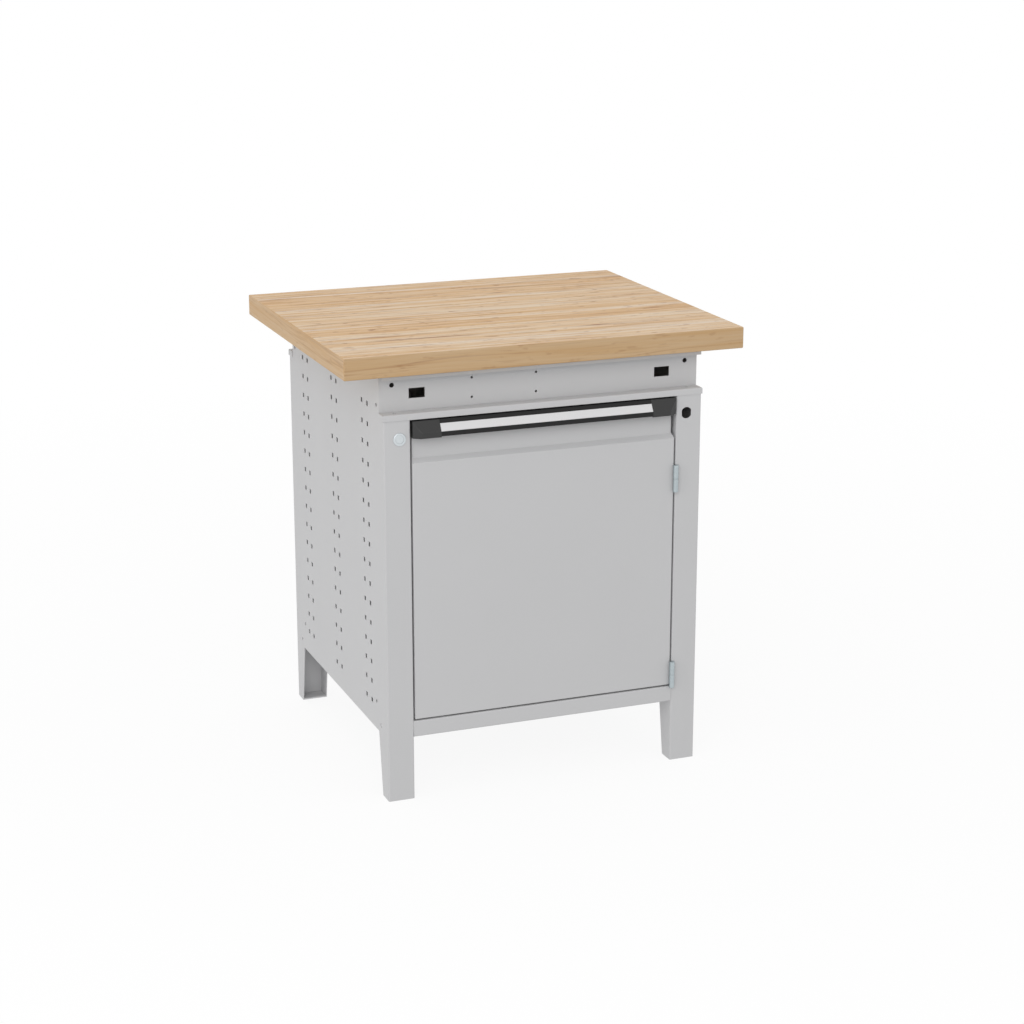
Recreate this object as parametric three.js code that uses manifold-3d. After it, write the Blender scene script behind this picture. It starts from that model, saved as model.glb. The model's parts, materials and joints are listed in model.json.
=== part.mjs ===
import * as THREE from 'three';
import { mergeVertices } from 'three/addons/utils/BufferGeometryUtils.js';
import Module from 'manifold-3d';

// Workbench with a cabinet under a beech top. Millimetres, +Z up, front towards -Y.
// The origin lies on the floor under the middle of the worktop.

// Overall sizes
const benchHeight = 850;
const frameWidth = 623;
const frameDepth = 606;
const frameSheet = 1.5;

// Worktop
const worktopWidth = 775;
const worktopDepth = 640;
const worktopThickness = 40;
const worktopEdge = 2;

// Side panels: a perforated wall folded into a front and a rear post
const postWidth = 50.5;
const postDepth = 54;
const footDepth = 35;
const footThickness = 3;
const legHeight = 122;
const wallFlange = 20;
const wallHole = 9;
const wallHolePitch = 38;
const wallHoleTopDrop = 70;
const wallHoleMargin = 30;
const wallPairSpacing = 32;
const wallPairPitch = 192.5;
const fixingHole = 7.5;
const fixingInset = 40.5;
const fixingInnerInset = 66;
const fixingRise = 15;
const fixingInnerRise = 55;
const fixingLedgeRise = 11;

// Rails and aprons
const apronHeight = 72;
const apronSetback = 24;
const apronFlange = 19.5;
const apronLip = 10.5;
const apronCutoutWidth = 30.5;
const apronCutoutHeight = 18.5;
const apronCutoutInset = 71.5;
const apronCutoutRise = 31;
const apronRoundHole = 9;
const apronRoundInset = 24.5;
const apronRoundRise = 48.5;
const apronSmallHole = 4.5;
const apronSmallCentre = -73;
const apronSmallSpacing = 124.5;
const apronSmallPitch = 36;
const apronSmallRise = 32.5;
const railLip = 11.8;
const ledgeHole = 7;
const ledgeHoleInset = 24.5;
const bottomRailHeight = 31;
const bottomRailTopFlange = 40;
const bottomRailUnderFlange = 20;

// Cabinet
const backSheet = 1.25;
const backFlange = 15;
const floorFlange = 25;
const floorOverlap = 12;
const shelfSheet = 1.25;
const shelfFlange = 20;
const shelfRow = 8;
const shelfEndGap = 4;
const shelfSideGap = 0.5;
const shelfDrop = 28;
const bracketWidth = 20;
const bracketHeight = 20;
const bracketTab = 18;

// Door
const doorGap = 3;
const doorSheet = 1.25;
const doorDepth = 25;
const recessHeight = 78.2;
const recessDepth = 9.5;
const recessInset = 2.5;
const stepHeight = 8;
const stiffenerWidth = 60;
const stiffenerBrim = 18;
const stiffenerDepth = 16;
const stiffenerSheet = 1;
const stiffenerEndGap = 14;
const doorSwing = 5.6;

// Handle: a hooked bar across the recess of the door, with an inclined face for a label strip
const handleRise = 0.4;
const handleTopReach = 12;
const handleReach = 24.3;
const handleNoseDrop = 21;
const handleDrop = 29.6;
const handleWall = 2.5;
const handleBackDrop = 22;
const stripTopMargin = 7.8;
const stripWidth = 15.6;
const stripThickness = 1;
const capLength = 51;
const capProud = 0.5;
const capDrop = 31.1;
const capBevelLength = 15;
const capBevelDepth = 10.8;

// Hinges
const hingeLength = 52;
const hingeRadius = 5.2;
const hingeLeaf = 1.2;
const hingeLeafDepth = 28;
const hingeLeafInset = 5;
const hingeEndWall = 4;
const hingePin = 6;
const hingeRunningGap = 0.15;
const upperHingeDrop = 154.7;
const lowerHingeRise = 22.5;

// Lock in the left post, and the unused hole for it in the right post
const lockInset = 30;
const lockDrop = 46;
const lockHole = 21.7;
const lockHoleFlats = 19;
const lockFlange = 24;
const lockFlangeThickness = 2;
const lockNutAcross = 28;
const lockNutThickness = 4;
const lockRotor = 12;
const lockHead = 15;
const lockHeadThickness = 1;
const lockTang = 7;
const keySlotHeight = 7;
const keySlotWidth = 1.6;
const keySlotDepth = 4;
const camThickness = 2.5;
const camWidth = 14;
const camGrip = 7;
const slotClearance = 1;

// Door stops
const stopTab = 18;
const stopHeight = 24;
const stopPlate = 22;
const stopUpperDrop = 150;
const stopLowerRise = 90;
const bufferDiameter = 12;
const bufferThickness = 3;

// Fasteners
const worktopScrew = 4;
const worktopScrewLength = 26;
const worktopScrewInset = 50;
const handleScrew = 4;
const handleScrewGrip = 9;
const camScrew = 4;
const camScrewGrip = 7;
const screwHeadRatio = 2.2;
const screwHeadThickness = 2.5;

// Gaps between pieces that are cut to each other
const fitGap = 0.3;
const arcSegments = 8;
const roundSegments = 24;
const holeSegments = 20;

// Places worked out from the sizes above
const halfWidth = frameWidth / 2;
const halfDepth = frameDepth / 2;
const wallInside = halfWidth - frameSheet;
const openingHalf = halfWidth - postWidth;
const frameTop = benchHeight - worktopThickness;
const ledgeTop = frameTop - apronHeight;
const railUnder = ledgeTop - railLip;
const postTop = ledgeTop - frameSheet;
const webFace = halfDepth - apronSetback;
const webBack = webFace - frameSheet;
const flangeFace = webFace + apronFlange;
const bottomRailTop = legHeight + bottomRailHeight;
const doorHalf = openingHalf - doorGap;
const doorBottom = bottomRailTop + doorGap;
const doorHeight = railUnder - doorGap - doorBottom;
const stepBottom = doorHeight - recessHeight;
const stepTop = stepBottom + stepHeight;
const recessHalf = doorHalf - recessInset;
const handleHalf = doorHalf - capLength;
const hingeX = (openingHalf + doorHalf) / 2;
const hingeY = -halfDepth - doorSwing;
const lockX = -(halfWidth - lockInset);
const lockZ = ledgeTop - lockDrop;
const camPlane = (recessDepth + doorDepth) / 2;
const camFront = camPlane - camThickness / 2;
const camReach = -lockX - (recessHalf - doorSheet) + camGrip;
const camTip = Math.hypot(camReach, camWidth / 2);
const topHoleRow = frameTop - wallHoleTopDrop;
const shelfHoleZ = topHoleRow - shelfRow * wallHolePitch;
const shelfUnder = shelfHoleZ - shelfDrop;
const screwX = halfWidth - worktopScrewInset;
const screwY = (flangeFace + webFace) / 2;
const capScrewX = doorHalf - capLength / 2;
const capScrewZ = doorHeight + handleRise - capDrop / 2;

const wasm = await Module();
wasm.setup();

// Solids: a closed geometry with merged corners, joined and cut as a whole

function toSolid(geometry) {
  geometry.deleteAttribute('normal');
  geometry.deleteAttribute('uv');
  const merged = mergeVertices(geometry);
  return new wasm.Manifold(new wasm.Mesh({
    numProp: 3,
    vertProperties: new Float32Array(merged.attributes.position.array),
    triVerts: new Uint32Array(merged.index.array),
  }));
}

function toGeometry(solid) {
  const mesh = solid.getMesh();
  const geometry = new THREE.BufferGeometry();
  geometry.setAttribute('position', new THREE.BufferAttribute(mesh.vertProperties, 3));
  geometry.setIndex(new THREE.BufferAttribute(mesh.triVerts, 1));
  geometry.computeVertexNormals();
  return geometry;
}

function join(first, ...others) {
  return others.reduce((whole, piece) => whole.add(piece), first);
}

function cut(first, ...tools) {
  return tools.reduce((whole, tool) => whole.subtract(tool), first);
}

// A box between two corners, given as a pair of limits along each axis in either order
function block(xs, ys, zs) {
  const limits = [xs, ys, zs].map((pair) => [Math.min(...pair), Math.max(...pair)]);
  const geometry = new THREE.BoxGeometry(...limits.map(([low, high]) => high - low));
  geometry.translate(...limits.map(([low, high]) => (low + high) / 2));
  return toSolid(geometry);
}

// A flat outline carried along one axis: (y, z) along X, (x, z) along Y, (x, y) along Z
const outlineFrames = {
  X: [new THREE.Vector3(0, 1, 0), new THREE.Vector3(0, 0, 1), new THREE.Vector3(1, 0, 0)],
  Y: [new THREE.Vector3(1, 0, 0), new THREE.Vector3(0, 0, 1), new THREE.Vector3(0, -1, 0)],
  Z: [new THREE.Vector3(1, 0, 0), new THREE.Vector3(0, 1, 0), new THREE.Vector3(0, 0, 1)],
};

function extrude(shape, axis, span) {
  const [low, high] = [Math.min(...span), Math.max(...span)];
  const geometry = new THREE.ExtrudeGeometry(shape, {
    depth: high - low,
    bevelEnabled: false,
    curveSegments: arcSegments,
  });
  geometry.applyMatrix4(new THREE.Matrix4().makeBasis(...outlineFrames[axis]));
  const start = axis === 'Y' ? high : low;
  geometry.translate(axis === 'X' ? start : 0, axis === 'Y' ? start : 0, axis === 'Z' ? start : 0);
  return toSolid(geometry);
}

function outline(points) {
  return new THREE.Shape(points.map(([a, b]) => new THREE.Vector2(a, b)));
}

function circlePoints(diameter, centre, count) {
  return Array.from({ length: count }, (unused, index) => {
    const turn = (index / count) * 2 * Math.PI;
    const radius = diameter / 2;
    return [centre[0] + radius * Math.cos(turn), centre[1] + radius * Math.sin(turn)];
  });
}

function roundRod(diameter, axis, span, centre = [0, 0]) {
  return extrude(outline(circlePoints(diameter, centre, roundSegments)), axis, span);
}

// A circle with a flat on its left and right
function doubleD(diameter, flats, centre) {
  const radius = diameter / 2;
  const turn = Math.acos(flats / diameter);
  const shape = new THREE.Shape();
  shape.absarc(centre[0], centre[1], radius, turn, Math.PI - turn, false);
  shape.absarc(centre[0], centre[1], radius, Math.PI + turn, 2 * Math.PI - turn, false);
  return shape;
}

function rectangle(centreA, centreB, width, height) {
  const [halfA, halfB] = [width / 2, height / 2];
  return outline([
    [centreA - halfA, centreB - halfB],
    [centreA + halfA, centreB - halfB],
    [centreA + halfA, centreB + halfB],
    [centreA - halfA, centreB + halfB],
  ]);
}

// The opening that the cam sweeps through, in a wall at a distance to the right of the lock
function camSlot(distance, xs, frontY, centreZ) {
  const below = Math.sqrt(Math.max(camTip * camTip - distance * distance, 0));
  return block(
    xs,
    [frontY + camFront - slotClearance, frontY + camFront + camThickness + slotClearance],
    [centreZ - below - slotClearance, centreZ + camWidth / 2 + slotClearance],
  );
}

// Finishes
function finish(color, roughness, metalness) {
  return new THREE.MeshStandardMaterial({ color, roughness, metalness });
}

const greyPaint = () => finish(0xbfc0c0, 0.5, 0);
const beech = () => finish(0xd8bb94, 0.55, 0);
const darkPlastic = () => finish(0x404040, 0.45, 0);
const paleStrip = () => finish(0xd9d9d9, 0.35, 0);
const zincPlate = () => finish(0xb4bfc3, 0.35, 0.9);
const blackRubber = () => finish(0x1c1c1c, 0.8, 0);

function addPiece(group, name, solid, material) {
  const mesh = new THREE.Mesh(toGeometry(solid), material);
  mesh.name = name;
  group.add(mesh);
  return mesh;
}

// A screw along +Y or +Z from the underside of its head, with its shank on the far side
function screw(diameter, length, axis, direction) {
  const head = roundRod(diameter * screwHeadRatio, axis, [0, -direction * screwHeadThickness]);
  const shank = roundRod(diameter, axis, [-direction * screwHeadThickness / 2, direction * length]);
  return join(head, shank);
}

const sides = [
  { name: 'left', side: -1 },
  { name: 'right', side: 1 },
];
const ends = [
  { name: 'front', end: -1 },
  { name: 'rear', end: 1 },
];

// Side panels

function wallPlate(xs) {
  const innerTop = halfDepth - postDepth;
  const innerFoot = halfDepth - footDepth;
  const plate = outline([
    [-halfDepth, 0],
    [-innerFoot, 0],
    [-innerTop, legHeight],
    [innerTop, legHeight],
    [innerFoot, 0],
    [halfDepth, 0],
    [halfDepth, postTop],
    [webBack, postTop],
    [webBack, frameTop],
    [-webBack, frameTop],
    [-webBack, postTop],
    [-halfDepth, postTop],
  ]);
  return extrude(plate, 'X', xs);
}

// Square holes in three pairs of columns, and round fixing holes near the posts
function wallHoles(xs) {
  const holes = [];
  const lowestRow = legHeight + wallHoleMargin;
  for (const pair of [-1, 0, 1]) {
    for (const half of [-1, 1]) {
      const y = pair * wallPairPitch + half * wallPairSpacing / 2;
      for (let z = topHoleRow; z > lowestRow; z -= wallHolePitch) {
        holes.push(extrude(rectangle(y, z, wallHole, wallHole), 'X', xs));
      }
    }
  }
  for (const { end } of ends) {
    const places = [
      [end * (halfDepth - fixingInset), legHeight + fixingRise],
      [end * (halfDepth - fixingInnerInset), legHeight + fixingInnerRise],
      [end * (halfDepth - fixingInset), ledgeTop + fixingLedgeRise],
    ];
    for (const place of places) {
      holes.push(extrude(outline(circlePoints(fixingHole, place, holeSegments)), 'X', xs));
    }
  }
  return holes;
}

function post(side, end) {
  const faceXs = [side * openingHalf, side * halfWidth];
  const face = block(faceXs, [end * halfDepth, end * (halfDepth - frameSheet)], [0, postTop]);
  const flange = extrude(
    outline([
      [end * halfDepth, 0],
      [end * (halfDepth - footDepth), 0],
      [end * (halfDepth - postDepth), legHeight],
      [end * (halfDepth - postDepth), railUnder - frameSheet],
      [end * halfDepth, railUnder - frameSheet],
    ]),
    'X',
    [side * openingHalf, side * (openingHalf + frameSheet)],
  );
  return join(face, flange);
}

function sidePanel(side) {
  const wall = wallPlate([side * wallInside, side * halfWidth]);
  const topFlange = block(
    [side * (halfWidth - wallFlange), side * halfWidth],
    [-webBack, webBack],
    [frameTop - frameSheet, frameTop],
  );
  const folded = join(wall, topFlange, post(side, -1), post(side, 1));
  const hole = doubleD(lockHole, lockHoleFlats, [-side * lockX, lockZ]);
  const lockOpening = extrude(hole, 'Y', [-halfDepth - frameSheet, -halfDepth + 2 * frameSheet]);
  const flangeDistance = -lockX - openingHalf - frameSheet;
  const slotXs = [side * (openingHalf - frameSheet), side * (openingHalf + 2 * frameSheet)];
  const holeXs = [side * (wallInside - frameSheet), side * (halfWidth + frameSheet)];
  const slot = camSlot(flangeDistance, slotXs, -halfDepth, lockZ);
  return cut(folded, lockOpening, slot, join(...wallHoles(holeXs)));
}

function addSidePanels(group) {
  for (const { name, side } of sides) {
    addPiece(group, `${name}_side_panel`, sidePanel(side), greyPaint());
  }
}

// Foot plates close the legs at the floor

function addFootPlates(group) {
  const footX = [openingHalf + frameSheet, wallInside];
  const footY = [halfDepth - footDepth, halfDepth - frameSheet];
  for (const { name, side } of sides) {
    for (const { name: endName, end } of ends) {
      const plate = block(footX.map((x) => side * x), footY.map((y) => end * y), [0, footThickness]);
      addPiece(group, `foot_plate_${endName}_${name}`, plate, greyPaint());
    }
  }
}

// Top rails are inverted channels that cap the posts; the walls pass through their rear lip

function topRail() {
  const outerX = halfWidth + frameSheet;
  const outer = block([-outerX, outerX], [-halfDepth - frameSheet, -webFace], [railUnder, ledgeTop]);
  const inner = block(
    [-halfWidth, halfWidth],
    [-halfDepth, -webFace - frameSheet],
    [railUnder - railLip, postTop],
  );
  let rail = cut(outer, inner);
  for (const { side } of sides) {
    const wallPassage = block(
      [side * wallInside, side * halfWidth],
      [-halfDepth, -webFace + frameSheet],
      [railUnder - railLip, postTop],
    );
    const hole = roundRod(
      ledgeHole,
      'Z',
      [postTop - frameSheet, ledgeTop + frameSheet],
      [side * (halfWidth - ledgeHoleInset), -(halfDepth + webFace) / 2],
    );
    rail = cut(rail, wallPassage, hole);
  }
  return rail;
}

// Aprons: a recessed web that stands behind the rail, with a lipped flange under the worktop

function apronHoles() {
  const holes = [];
  for (const { side } of sides) {
    const cutoutX = side * (halfWidth - apronCutoutInset);
    const cutoutZ = ledgeTop + apronCutoutRise;
    holes.push(rectangle(cutoutX, cutoutZ, apronCutoutWidth, apronCutoutHeight));
    const roundPlace = [side * (halfWidth - apronRoundInset), ledgeTop + apronRoundRise];
    holes.push(outline(circlePoints(apronRoundHole, roundPlace, holeSegments)));
    for (const half of [-1, 1]) {
      const smallPlace = [
        apronSmallCentre + side * apronSmallSpacing / 2,
        ledgeTop + apronSmallRise + half * apronSmallPitch / 2,
      ];
      holes.push(outline(circlePoints(apronSmallHole, smallPlace, holeSegments)));
    }
  }
  return holes.map((shape) => extrude(shape, 'Y', [-webFace - frameSheet, -webBack + frameSheet]));
}

function apron() {
  const plate = outline([
    [-wallInside, railUnder],
    [wallInside, railUnder],
    [wallInside, ledgeTop],
    [halfWidth, ledgeTop],
    [halfWidth, frameTop],
    [-halfWidth, frameTop],
    [-halfWidth, ledgeTop],
    [-wallInside, ledgeTop],
  ]);
  const web = extrude(plate, 'Y', [-webFace, -webBack]);
  const width = [-halfWidth, halfWidth];
  const flange = block(width, [-flangeFace, -webBack], [frameTop - frameSheet, frameTop]);
  const lip = block(width, [-flangeFace, -flangeFace + frameSheet], [frameTop - apronLip, frameTop]);
  const screwHoles = sides.map(({ side }) => roundRod(
    worktopScrew + 2 * fitGap,
    'Z',
    [frameTop - 2 * frameSheet, frameTop + frameSheet],
    [side * screwX, -screwY],
  ));
  return cut(join(web, flange, lip), ...screwHoles, ...apronHoles());
}

// Bottom rails: channels between the posts, open towards the cabinet

function bottomRail() {
  const width = [-openingHalf, openingHalf];
  const face = block(width, [-halfDepth, -halfDepth + frameSheet], [legHeight, bottomRailTop]);
  const top = block(
    width,
    [-halfDepth, -halfDepth + bottomRailTopFlange],
    [bottomRailTop - frameSheet, bottomRailTop],
  );
  const under = block(
    width,
    [-halfDepth, -halfDepth + bottomRailUnderFlange],
    [legHeight, legHeight + frameSheet],
  );
  return join(face, top, under);
}

function addRails(group) {
  const makers = { top_rail: topRail, apron, bottom_rail: bottomRail };
  for (const [pieceName, maker] of Object.entries(makers)) {
    for (const { name, end } of ends) {
      const piece = addPiece(group, `${name}_${pieceName}`, maker(), greyPaint());
      piece.rotation.z = end < 0 ? 0 : Math.PI;
    }
  }
}

// Cabinet: back panel, floor, shelf and the brackets that carry the shelf

function backPanel() {
  const zs = [bottomRailTop, railUnder];
  const skin = block([-openingHalf, openingHalf], [halfDepth, halfDepth - backFlange], zs);
  const hollow = block(
    [-openingHalf + backSheet, openingHalf - backSheet],
    [halfDepth - backSheet, halfDepth - 2 * backFlange],
    [zs[0] + backSheet, zs[1] - backSheet],
  );
  return cut(skin, hollow);
}

function cabinetFloor() {
  const floorTop = bottomRailTop - frameSheet;
  const zs = [floorTop - frameSheet, floorTop];
  const innerDepth = halfDepth - postDepth;
  const frontDepth = halfDepth - bottomRailTopFlange + floorOverlap;
  const middle = block([-wallInside, wallInside], [-innerDepth, innerDepth], zs);
  const between = block([-openingHalf, openingHalf], [-frontDepth, frontDepth], zs);
  const flanges = sides.map(({ side }) => block(
    [side * wallInside, side * (wallInside - frameSheet)],
    [-innerDepth, innerDepth],
    [floorTop - floorFlange, floorTop],
  ));
  return join(middle, between, ...flanges);
}

function shelf() {
  const halfX = wallInside - frameSheet - shelfSideGap;
  const halfY = halfDepth - postDepth - shelfEndGap;
  const zs = [shelfUnder, shelfUnder + shelfFlange];
  const outer = block([-halfX, halfX], [-halfY, halfY], zs);
  const hollow = block(
    [-halfX + shelfSheet, halfX - shelfSheet],
    [-halfY + shelfSheet, halfY - shelfSheet],
    [zs[0] - shelfFlange, zs[1] - shelfSheet],
  );
  return cut(outer, hollow);
}

// A bracket is welded on the inside of the wall, between two rows of holes
function shelfBracket(side) {
  const halfY = bracketWidth / 2;
  const foot = -frameSheet;
  const plate = block([0, -side * frameSheet], [-halfY, halfY], [foot, foot + bracketHeight]);
  const tab = block([0, -side * bracketTab], [-halfY, halfY], [foot, 0]);
  return join(plate, tab);
}

function addCabinet(group) {
  addPiece(group, 'back_panel', backPanel(), greyPaint());
  addPiece(group, 'cabinet_floor', cabinetFloor(), greyPaint());
  addPiece(group, 'shelf', shelf(), greyPaint());
  for (const { name, side } of sides) {
    for (const { name: endName, end } of ends) {
      const bracket = addPiece(group, `shelf_bracket_${endName}_${name}`, shelfBracket(side), greyPaint());
      bracket.position.set(side * wallInside, end * wallPairPitch, shelfUnder);
    }
  }
}

// Worktop and the screws that hold it down

function addWorktop(group) {
  const halfX = worktopWidth / 2 - worktopEdge;
  const halfY = worktopDepth / 2 - worktopEdge;
  const geometry = new THREE.ExtrudeGeometry(
    outline([[-halfX, -halfY], [halfX, -halfY], [halfX, halfY], [-halfX, halfY]]),
    {
      depth: worktopThickness - 2 * worktopEdge,
      bevelEnabled: true,
      bevelThickness: worktopEdge,
      bevelSize: worktopEdge,
      bevelSegments: 1,
    },
  );
  geometry.translate(0, 0, frameTop + worktopEdge);
  const pilotEnds = [frameTop - worktopEdge, frameTop + worktopScrewLength];
  const pilotHoles = [];
  for (const { name, side } of sides) {
    for (const { name: endName, end } of ends) {
      pilotHoles.push(
        roundRod(worktopScrew + 2 * fitGap, 'Z', pilotEnds, [side * screwX, end * screwY]),
      );
      const length = worktopScrewLength + frameSheet - fitGap;
      const fixing = screw(worktopScrew, length, 'Z', 1);
      const piece = addPiece(group, `worktop_screw_${endName}_${name}`, fixing, zincPlate());
      piece.position.set(side * screwX, end * screwY, frameTop - frameSheet);
    }
  }
  addPiece(group, 'worktop', cut(toSolid(geometry), ...pilotHoles), beech());
}

// Door stops on the left post, each with a rubber buffer that the edge of the door meets

function addDoorStops(group) {
  const heights = {
    upper: doorBottom + doorHeight - stopUpperDrop,
    lower: doorBottom + stopLowerRise,
  };
  const tabFront = doorDepth + fitGap + bufferThickness;
  const plateEnd = Math.min(tabFront + stopPlate, postDepth);
  for (const [name, z] of Object.entries(heights)) {
    const stop = new THREE.Group();
    stop.position.set(-openingHalf, -halfDepth, z);
    const zs = [-stopHeight / 2, stopHeight / 2];
    const plate = block([0, frameSheet], [tabFront, plateEnd], zs);
    const tab = block([0, stopTab], [tabFront, tabFront + frameSheet], zs);
    addPiece(stop, `door_stop_${name}`, join(plate, tab), greyPaint());
    const bufferX = doorGap + bufferDiameter / 2;
    const buffer = roundRod(bufferDiameter, 'Y', [tabFront - bufferThickness, tabFront], [bufferX, 0]);
    addPiece(stop, `door_buffer_${name}`, buffer, blackRubber());
    group.add(stop);
  }
}

// Door: a folded pan with a recessed upper zone above a sloping step

function doorPan() {
  const slope = Math.hypot(recessDepth, stepHeight);
  const slopeShift = doorSheet * (slope - stepHeight) / recessDepth;
  const profile = (inset, back, lift) => outline([
    [inset, inset],
    [inset, stepBottom - lift],
    [recessDepth + inset, stepTop - lift],
    [recessDepth + inset, doorHeight - inset],
    [back, doorHeight - inset],
    [back, inset],
  ]);
  const face = (inset) => outline([
    [-doorHalf + inset, inset],
    [doorHalf - inset, inset],
    [doorHalf - inset, stepBottom],
    [recessHalf - inset, stepTop],
    [recessHalf - inset, doorHeight - inset],
    [-recessHalf + inset, doorHeight - inset],
    [-recessHalf + inset, stepTop],
    [-doorHalf + inset, stepBottom],
  ]);
  const back = doorDepth + doorSheet;
  const outer = extrude(profile(0, doorDepth, 0), 'X', [-doorHalf, doorHalf])
    .intersect(extrude(face(0), 'Y', [-doorSheet, back]));
  const inner = extrude(profile(doorSheet, back, slopeShift), 'X', [-doorHalf, doorHalf])
    .intersect(extrude(face(doorSheet), 'Y', [-doorSheet, back + doorSheet]));
  return cut(outer, inner);
}

function doorPanel() {
  const flangeDistance = -lockX - recessHalf;
  const slotXs = [-recessHalf - doorSheet, -recessHalf + 2 * doorSheet];
  const slot = camSlot(flangeDistance, slotXs, 0, lockZ - doorBottom);
  const screwHoles = sides.map(({ side }) => roundRod(
    handleScrew + 2 * fitGap,
    'Y',
    [recessDepth - doorSheet, recessDepth + 2 * doorSheet],
    [side * capScrewX, capScrewZ],
  ));
  return cut(doorPan(), slot, ...screwHoles);
}

// A hat channel up the middle of the door's inside
function doorStiffener() {
  const half = stiffenerWidth / 2;
  const brim = half + stiffenerBrim;
  const skin = doorSheet;
  const brimBack = skin + stiffenerSheet;
  const crown = skin + stiffenerDepth;
  return extrude(
    outline([
      [-brim, skin],
      [-half + stiffenerSheet, skin],
      [-half + stiffenerSheet, crown - stiffenerSheet],
      [half - stiffenerSheet, crown - stiffenerSheet],
      [half - stiffenerSheet, skin],
      [brim, skin],
      [brim, brimBack],
      [half, brimBack],
      [half, crown],
      [-half, crown],
      [-half, brimBack],
      [-brim, brimBack],
    ]),
    'Z',
    [stiffenerEndGap, stepBottom - stiffenerEndGap],
  );
}

// Handle, measured forwards (-Y) from the recessed face and down from the top of the bar.
// Its inclined face runs from the top edge to the nose; the strip lies in a rebate of it.

const faceLength = Math.hypot(handleReach - handleTopReach, handleNoseDrop);
const faceForward = (handleReach - handleTopReach) / faceLength;
const faceDown = handleNoseDrop / faceLength;

// A point on the inclined face, a distance along it from its top edge and a depth under it
function onFace(along, under) {
  const forward = handleTopReach + along * faceForward - under * faceDown;
  const down = along * faceDown + under * faceForward;
  return [-forward, -down];
}

function handleBar() {
  const rebate = stripThickness + fitGap;
  const stripEnd = stripTopMargin + stripWidth;
  const wallUnder = handleWall + rebate;
  const [innerNoseY] = onFace(faceLength, wallUnder);
  return extrude(
    outline([
      [0, 0],
      onFace(0, 0),
      onFace(stripTopMargin - fitGap, 0),
      onFace(stripTopMargin - fitGap, rebate),
      onFace(stripEnd + fitGap, rebate),
      onFace(stripEnd + fitGap, 0),
      onFace(faceLength, 0),
      [-handleReach, -handleDrop],
      [innerNoseY, -handleDrop],
      onFace(faceLength, wallUnder),
      onFace(handleWall, wallUnder),
      [-handleWall, onFace(handleWall, wallUnder)[1]],
      [-handleWall, -handleBackDrop],
      [0, -handleBackDrop],
    ]),
    'X',
    [-handleHalf, handleHalf],
  );
}

function handleStrip() {
  return extrude(
    outline([
      onFace(stripTopMargin, 0),
      onFace(stripTopMargin, stripThickness),
      onFace(stripTopMargin + stripWidth, stripThickness),
      onFace(stripTopMargin + stripWidth, 0),
    ]),
    'X',
    [-handleHalf, handleHalf],
  );
}

// An end cap follows the bar's outer form, a little prouder, with its outer corner cut back
function handleEndCap(side) {
  const nose = handleReach + capProud;
  const section = extrude(
    outline([
      [0, 0],
      [-handleTopReach - capProud, 0],
      [-nose, -handleNoseDrop],
      [-nose, -capDrop],
      [0, -capDrop],
    ]),
    'X',
    [side * handleHalf, side * doorHalf],
  );
  const plan = extrude(
    outline([
      [side * handleHalf, 0],
      [side * handleHalf, -nose],
      [side * (doorHalf - capBevelLength), -nose],
      [side * doorHalf, -nose + capBevelDepth],
      [side * doorHalf, 0],
    ]),
    'Z',
    [-capDrop - capProud, capProud],
  );
  const screwHole = roundRod(
    handleScrew + 2 * fitGap,
    'Y',
    [doorSheet, -handleScrewGrip - fitGap],
    [side * capScrewX, -capDrop / 2],
  );
  return cut(section.intersect(plan), screwHole);
}

function addHandle(group) {
  const handle = new THREE.Group();
  handle.position.set(0, recessDepth, doorHeight + handleRise);
  addPiece(handle, 'handle_bar', handleBar(), darkPlastic());
  addPiece(handle, 'handle_strip', handleStrip(), paleStrip());
  for (const { name, side } of sides) {
    addPiece(handle, `handle_end_cap_${name}`, handleEndCap(side), darkPlastic());
    const fixing = screw(handleScrew, handleScrewGrip + doorSheet, 'Y', -1);
    const piece = addPiece(handle, `handle_screw_${name}`, fixing, zincPlate());
    piece.position.set(side * capScrewX, doorSheet, -capDrop / 2);
  }
  group.add(handle);
}

function addDoor(group) {
  const door = new THREE.Group();
  door.position.set(0, -halfDepth, doorBottom);
  addPiece(door, 'door_panel', doorPanel(), greyPaint());
  addPiece(door, 'door_stiffener', doorStiffener(), greyPaint());
  addHandle(door);
  group.add(door);
}

// Lift-off hinges: the door's half sits on a pin that stands in the frame's half

function hingeHalf(side, direction) {
  const outerEnd = hingeLength / 2;
  const knuckle = roundRod(2 * hingeRadius, 'Z', [direction * hingeRunningGap, direction * outerEnd]);
  const leafFace = side * doorGap / 2;
  const leaf = block(
    [leafFace - side * hingeLeaf, leafFace],
    [0, hingeLeafDepth],
    [direction * hingeLeafInset, direction * (outerEnd - hingeLeafInset)],
  );
  const bore = roundRod(hingePin + 2 * fitGap, 'Z', [0, direction * (outerEnd - hingeEndWall)]);
  return cut(join(knuckle, leaf), bore);
}

function addHinges(group) {
  const heights = {
    upper: doorBottom + doorHeight - upperHingeDrop,
    lower: doorBottom + lowerHingeRise,
  };
  const pinHalf = hingeLength / 2 - hingeEndWall - fitGap;
  for (const [name, z] of Object.entries(heights)) {
    const hinge = new THREE.Group();
    hinge.position.set(hingeX, hingeY, z);
    addPiece(hinge, `hinge_frame_leaf_${name}`, hingeHalf(1, -1), zincPlate());
    addPiece(hinge, `hinge_door_leaf_${name}`, hingeHalf(-1, 1), zincPlate());
    addPiece(hinge, `hinge_pin_${name}`, roundRod(hingePin, 'Z', [-pinHalf, pinHalf]), zincPlate());
    group.add(hinge);
  }
}

// Cam lock: measured back from the face of the left post

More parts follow.
